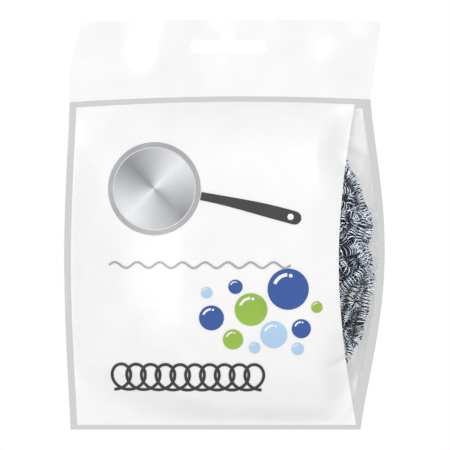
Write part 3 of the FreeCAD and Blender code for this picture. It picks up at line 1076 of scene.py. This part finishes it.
def spring(path, pitch, random):
    """Wire wound about a path: a round section carried along a helix of uneven pitch and radius."""
    stations, path = evenly(path, pitch / curl_points)
    tangent = unit(np.gradient(path, axis=0))
    across = unit(np.cross(tangent, (0.0, 1.0, 0.0)))
    back = np.cross(tangent, across)
    loose = 1 + sway(stations, *pitch_sway, random)[:, 0]
    turn = np.cumsum(2 * math.pi / curl_points / loose) + random.uniform(0, 2 * math.pi)
    radius = curl_radius * (1 + sway(stations, *radius_sway, random)[:, :1])
    radial = across * np.cos(turn)[:, None] + back * np.sin(turn)[:, None]
    helix = path + radial * radius
    heading = unit(np.gradient(helix, axis=0))
    side = unit(np.cross(heading, radial))
    angles = np.arange(wire_sides) * 2 * math.pi / wire_sides
    section = radial[:, None] * np.cos(angles)[None, :, None] + side[:, None] * np.sin(angles)[None, :, None]
    points = helix[:, None] + section * wire / 2
    rows = len(points)
    quads = grid_quads(rows, wire_sides, wrap_columns=True)
    last = (rows - 1) * wire_sides
    caps = np.stack([np.arange(wire_sides)[::-1], last + np.arange(wire_sides)])
    return points.reshape(-1, 3), [quads, caps]


def add_wire(name, shape, node):
    """Spring as a piece of the scrubber, with each point marked by how far out on its curl it lies, for the
    painted light: bright outside, painted shade inside.
    """
    piece = add_piece(name, shape, wire_finish_painted_shade, [node], sharp_angle=180)
    # Painted light per point round the wire: 1 on the curl's outside, painted bright, down to 0 on its
    # inside, painted shade
    sides = 0.5 + 0.5 * np.cos(np.arange(wire_sides) * 2 * math.pi / wire_sides)
    painted_curl_light = piece.data.attributes.new("painted_curl_light", "FLOAT", "POINT")
    painted_curl_light.data.foreach_set("value", np.tile(sides, len(shape[0]) // wire_sides).astype(np.float32))
    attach(piece, "scrubber")


def strand(name, node, seed, *winding):
    """One springy strand of the scrubber, in two pieces of equal length."""
    random = np.random.default_rng(seed)
    path = wandering(strand_path(*winding), strand_sway, random)
    half = len(path) // 2
    for part, stretch in (("in", path[:half + 1]), ("out", path[half:])):
        add_wire(f"{name}_{part}", spring(stretch, curl_pitch, random), node)


def rim_curls(name, node, seed):
    """Strand end along the rim's right side, where the middle strand leaves it a place, closely wound."""
    random = np.random.default_rng(seed)
    turns = np.linspace(-rim_spring_turns, rim_spring_turns, rim_points)
    rim = loop_points(turns, scrubber_half, layer_depth(layers // 2 - 1))
    path = wandering(rim, rim_sway, random)
    add_wire(name, spring(path, rim_pitch, random), node)


def loose_path(turn, inset, length, heading, bend, side):
    """Middle of a loose curl on one face: an arc about a point of the loops, its ends tucked in by a sine."""
    across, up = rounded_square(np.array(turn))
    angle = heading + bend * np.linspace(-0.5, 0.5, loose_points) * length
    x = scrubber_x + across * (scrubber_half - inset) + np.cumsum(np.cos(angle)) * length / loose_points
    z = scrubber_z + up * (scrubber_half - inset) + np.cumsum(np.sin(angle)) * length / loose_points
    shrink = np.minimum(1, scrubber_half / loop_size(x, z))
    x, z = mix(scrubber_x, x, shrink), mix(scrubber_z, z, shrink)
    tuck = loose_tuck * (1 - np.sin(np.linspace(0, math.pi, loose_points))) - loose_proud
    depth = strand_depth(scrubber_half - loop_size(x, z)) - tuck
    return keep_in_pocket(bump_out(np.stack([x, side * depth, z], axis=1)))


def loose_curls(name, node, side, seed):
    """Lengths of strand that have slipped across the loops of one face, spread evenly round it."""
    random = np.random.default_rng(seed)
    shapes = []
    for index in range(loose_count):
        turn = (index + random.uniform(0, 1)) / loose_count
        inset = random.uniform(0, 1) ** loose_spread_power * scrubber_half * loose_spread
        length = random.uniform(*loose_lengths)
        heading = random.uniform(0, math.pi)
        bend = random.uniform(-loose_bend, loose_bend)
        path = loose_path(turn, inset, length, heading, bend, side)
        shapes.append(spring(path, curl_pitch, random))
    add_wire(name, joined(shapes), node)


# Strands: seed, first side, then inset at the rim and layer of the way in and of the way out
strand("front_strand", "strand_front", 11, 0, shoulder_inset, 1, face_inset, 0)
strand("middle_strand", "strand_middle", 12, 1, 0, 2, 0, 3)
strand("back_strand", "strand_back", 13, 0, shoulder_inset, 4, face_inset, 5)
rim_curls("rim_curls", "rim_spring", 41)
loose_curls("front_curls", "strand_front", -1, 21)
loose_curls("back_curls", "strand_back", 1, 22)


# Stage: camera, light and floor, with lamps and fades in metres

photo_pixels = 450
pixel_size = 0.4222
photo_middle = (-1.35, -75.24)
camera_distance = 1600.0
sensor_width = 36
lamps_face = (0, 0, -0.08)
room_light = 0.63
floor_height = -300.0
floor_radius = 1400.0
floor_rings = 24
floor_spokes = 96
floor_eye = 0.02
floor_widening = 1.5
floor_fade = (0.45, 1.15)
floor_colour = (0.86, 0.86, 0.86, 1)


def add_camera():
    """Camera level with the middle of the photograph, looking straight at the front."""
    data = bpy.data.cameras.new("camera")
    data.sensor_width = sensor_width
    data.lens = sensor_width * camera_distance / (photo_pixels * pixel_size)
    camera = bpy.data.objects.new("camera", data)
    camera.location = (photo_middle[0] * MM, -camera_distance * MM, photo_middle[1] * MM)
    camera.rotation_euler = (math.pi / 2, 0, 0)
    bpy.context.scene.collection.objects.link(camera)
    bpy.context.scene.camera = camera


def seen_directly(tree):
    """1 for what the camera, a mirror or glass sees, and 0 for light that falls on the object."""
    path = add_node(tree, "ShaderNodeLightPath", {})
    total = path.outputs["Is Camera Ray"]
    for name in ("Is Glossy Ray", "Is Transmission Ray"):
        total = worked_out(tree, "MAXIMUM", total, path.outputs[name])
    return total


def add_world():
    """White behind the object, and a softer white that lights it."""
    world = bpy.data.worlds.new("world")
    world.use_nodes = True
    tree = world.node_tree
    tree.nodes.clear()
    lit, seen = [add_node(tree, "ShaderNodeBackground", {"Color": (1, 1, 1, 1), "Strength": strength})
                 for strength in (room_light, 1.0)]
    both = mixed(tree, seen_directly(tree), lit.outputs["Background"], seen.outputs["Background"])
    add_node(tree, "ShaderNodeOutputWorld", {"Surface": both})
    bpy.context.scene.world = world


def add_lamp(name, place, size, power):
    """Square soft lamp that faces the middle of the bag."""
    data = bpy.data.lights.new(name, "AREA")
    data.size = size
    data.energy = power
    lamp = bpy.data.objects.new(name, data)
    lamp.location = place
    target = np.array(lamps_face) - np.array(place)
    flat = math.hypot(target[0], target[1])
    lamp.rotation_euler = (math.atan2(flat, -target[2]), 0, math.atan2(target[1], target[0]) - math.pi / 2)
    bpy.context.scene.collection.objects.link(lamp)


def floor_finish():
    """Pale grey that fades to plain white towards the floor's rim."""
    material, tree, place = new_material("floor")
    length = add_node(tree, "ShaderNodeVectorMath", {0: place})
    length.operation = "LENGTH"
    inputs = {"Value": length.outputs["Value"], "From Min": floor_fade[0], "From Max": floor_fade[1]}
    rim = add_node(tree, "ShaderNodeMapRange", inputs)
    rim.interpolation_type = "SMOOTHSTEP"
    share = worked_out(tree, "MULTIPLY", rim.outputs["Result"], seen_directly(tree))
    pale = add_node(tree, "ShaderNodeBsdfDiffuse", {"Color": floor_colour})
    white = add_node(tree, "ShaderNodeEmission", {})
    set_surface(tree, mixed(tree, share, pale.outputs["BSDF"], white.outputs["Emission"]))
    return material


def add_floor():
    """Round floor below the reach of the drawn-out scrubber: rings of points that widen towards its rim."""
    widths = np.linspace(floor_eye, 1, floor_rings) ** floor_widening * floor_radius
    radius, angle = np.meshgrid(widths, np.linspace(0, 2 * math.pi, floor_spokes, endpoint=False))
    level = np.full_like(radius, floor_height)
    points = np.stack([radius * np.cos(angle), radius * np.sin(angle), level], axis=-1)
    quads = grid_quads(floor_spokes, floor_rings, wrap_rows=True)
    middle = np.arange(floor_spokes)[None, :] * floor_rings
    mesh = bpy.data.meshes.new("floor")
    mesh.from_pydata((points.reshape(-1, 3) * MM).tolist(), [], quads[:, ::-1].tolist() + middle.tolist())
    mesh.materials.append(floor_finish())
    floor = bpy.data.objects.new("floor", mesh)
    bpy.context.scene.collection.objects.link(floor)


add_camera()
add_world()
add_lamp("key", (0.45, -0.95, 0.6), size=0.9, power=4.2)
add_lamp("fill", (-0.75, -1.15, -0.02), size=0.55, power=3.2)
add_lamp("back", (0.8, 0.9, 0.3), size=0.9, power=7.2)
add_floor()
bpy.context.scene.view_settings.view_transform = "Standard"
